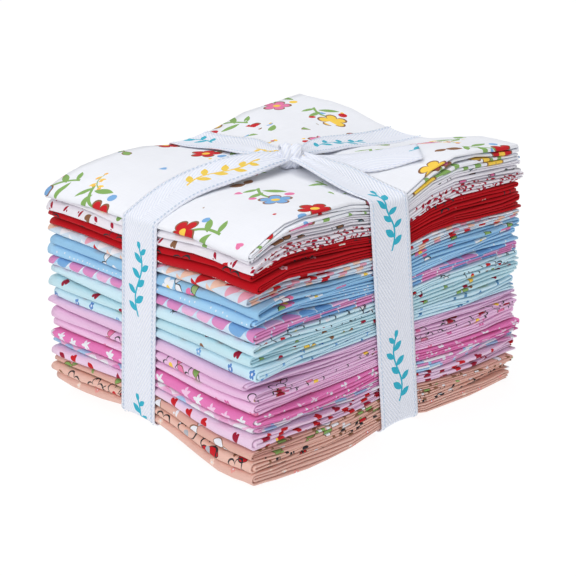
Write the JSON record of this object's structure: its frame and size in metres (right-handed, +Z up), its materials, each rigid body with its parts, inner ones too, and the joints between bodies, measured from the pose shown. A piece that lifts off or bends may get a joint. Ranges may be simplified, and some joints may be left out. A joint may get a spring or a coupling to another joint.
{
  "type": "fat quarter bundle",
  "caption": "Stack of folded printed cotton fat quarters in white, red, blue, aqua, pink and peach, tied both ways with white woven tape and knotted on top.",
  "frame": {"origin": "middle of the bundle's outline, on the surface that it stands on", "axes": "+X along the long side of the folded pieces, away from their closed folds; +Y along the short side; +Z up through the stack"},
  "size_m": [0.1361, 0.1178, 0.1019],
  "materials": {
    "white_posy": "white quilting cotton printed with small posies",
    "white_line": "white quilting cotton printed with fine black lines",
    "white_red_dash": "white quilting cotton printed with short red strokes",
    "red_cream": "red quilting cotton printed with small cream flowers",
    "red_floret": "red quilting cotton printed with tiny white flowers",
    "peach_bunting": "quilting cotton printed with rows of red, white and peach points",
    "blue_leaf": "blue quilting cotton printed with leaves",
    "blue_dot": "blue quilting cotton printed with tiny dots",
    "blue_scallop": "quilting cotton printed with blue and pink scallops",
    "aqua_sprig": "aqua quilting cotton printed with sprigs",
    "aqua_berry": "aqua quilting cotton printed with small red berries",
    "aqua_floret": "aqua quilting cotton printed with tiny blue flowers",
    "pink_plain": "plain pink quilting cotton",
    "pink_leaf": "pink quilting cotton printed with leaves",
    "pink_dot": "pink quilting cotton printed with tiny dots",
    "hot_pink": "hot pink quilting cotton printed with white stars",
    "pastel_scallop": "quilting cotton printed with pastel scallops",
    "lilac_bow": "lilac quilting cotton printed with red hearts",
    "peach_stem": "peach quilting cotton printed with green stems",
    "peach_line": "peach quilting cotton printed with fine black lines",
    "peach_floret": "peach quilting cotton printed with tiny pink flowers",
    "tape": "white woven cotton tape with a herringbone face"
  },
  "bodies": {
    "root": {"quarter_01_white_posy": "white_posy", "quarter_02_white_line": "white_line", "quarter_03_white_red_dash": "white_red_dash", "quarter_04_red_cream": "red_cream", "quarter_05_red_floret": "red_floret", "quarter_06_peach_bunting": "peach_bunting", "quarter_07_blue_leaf": "blue_leaf", "quarter_08_blue_dot": "blue_dot", "quarter_09_blue_scallop": "blue_scallop", "quarter_10_aqua_sprig": "aqua_sprig", "quarter_11_aqua_berry": "aqua_berry", "quarter_12_aqua_floret": "aqua_floret", "quarter_13_pink_plain": "pink_plain", "quarter_14_pink_leaf": "pink_leaf", "quarter_15_pink_dot": "pink_dot", "quarter_16_hot_pink": "hot_pink", "quarter_17_pastel_scallop": "pastel_scallop", "quarter_18_lilac_bow": "lilac_bow", "quarter_19_peach_stem": "peach_stem", "quarter_20_peach_line": "peach_line", "quarter_21_peach_floret": "peach_floret", "tape_tie": "tape"}
  },
  "joints": []
}
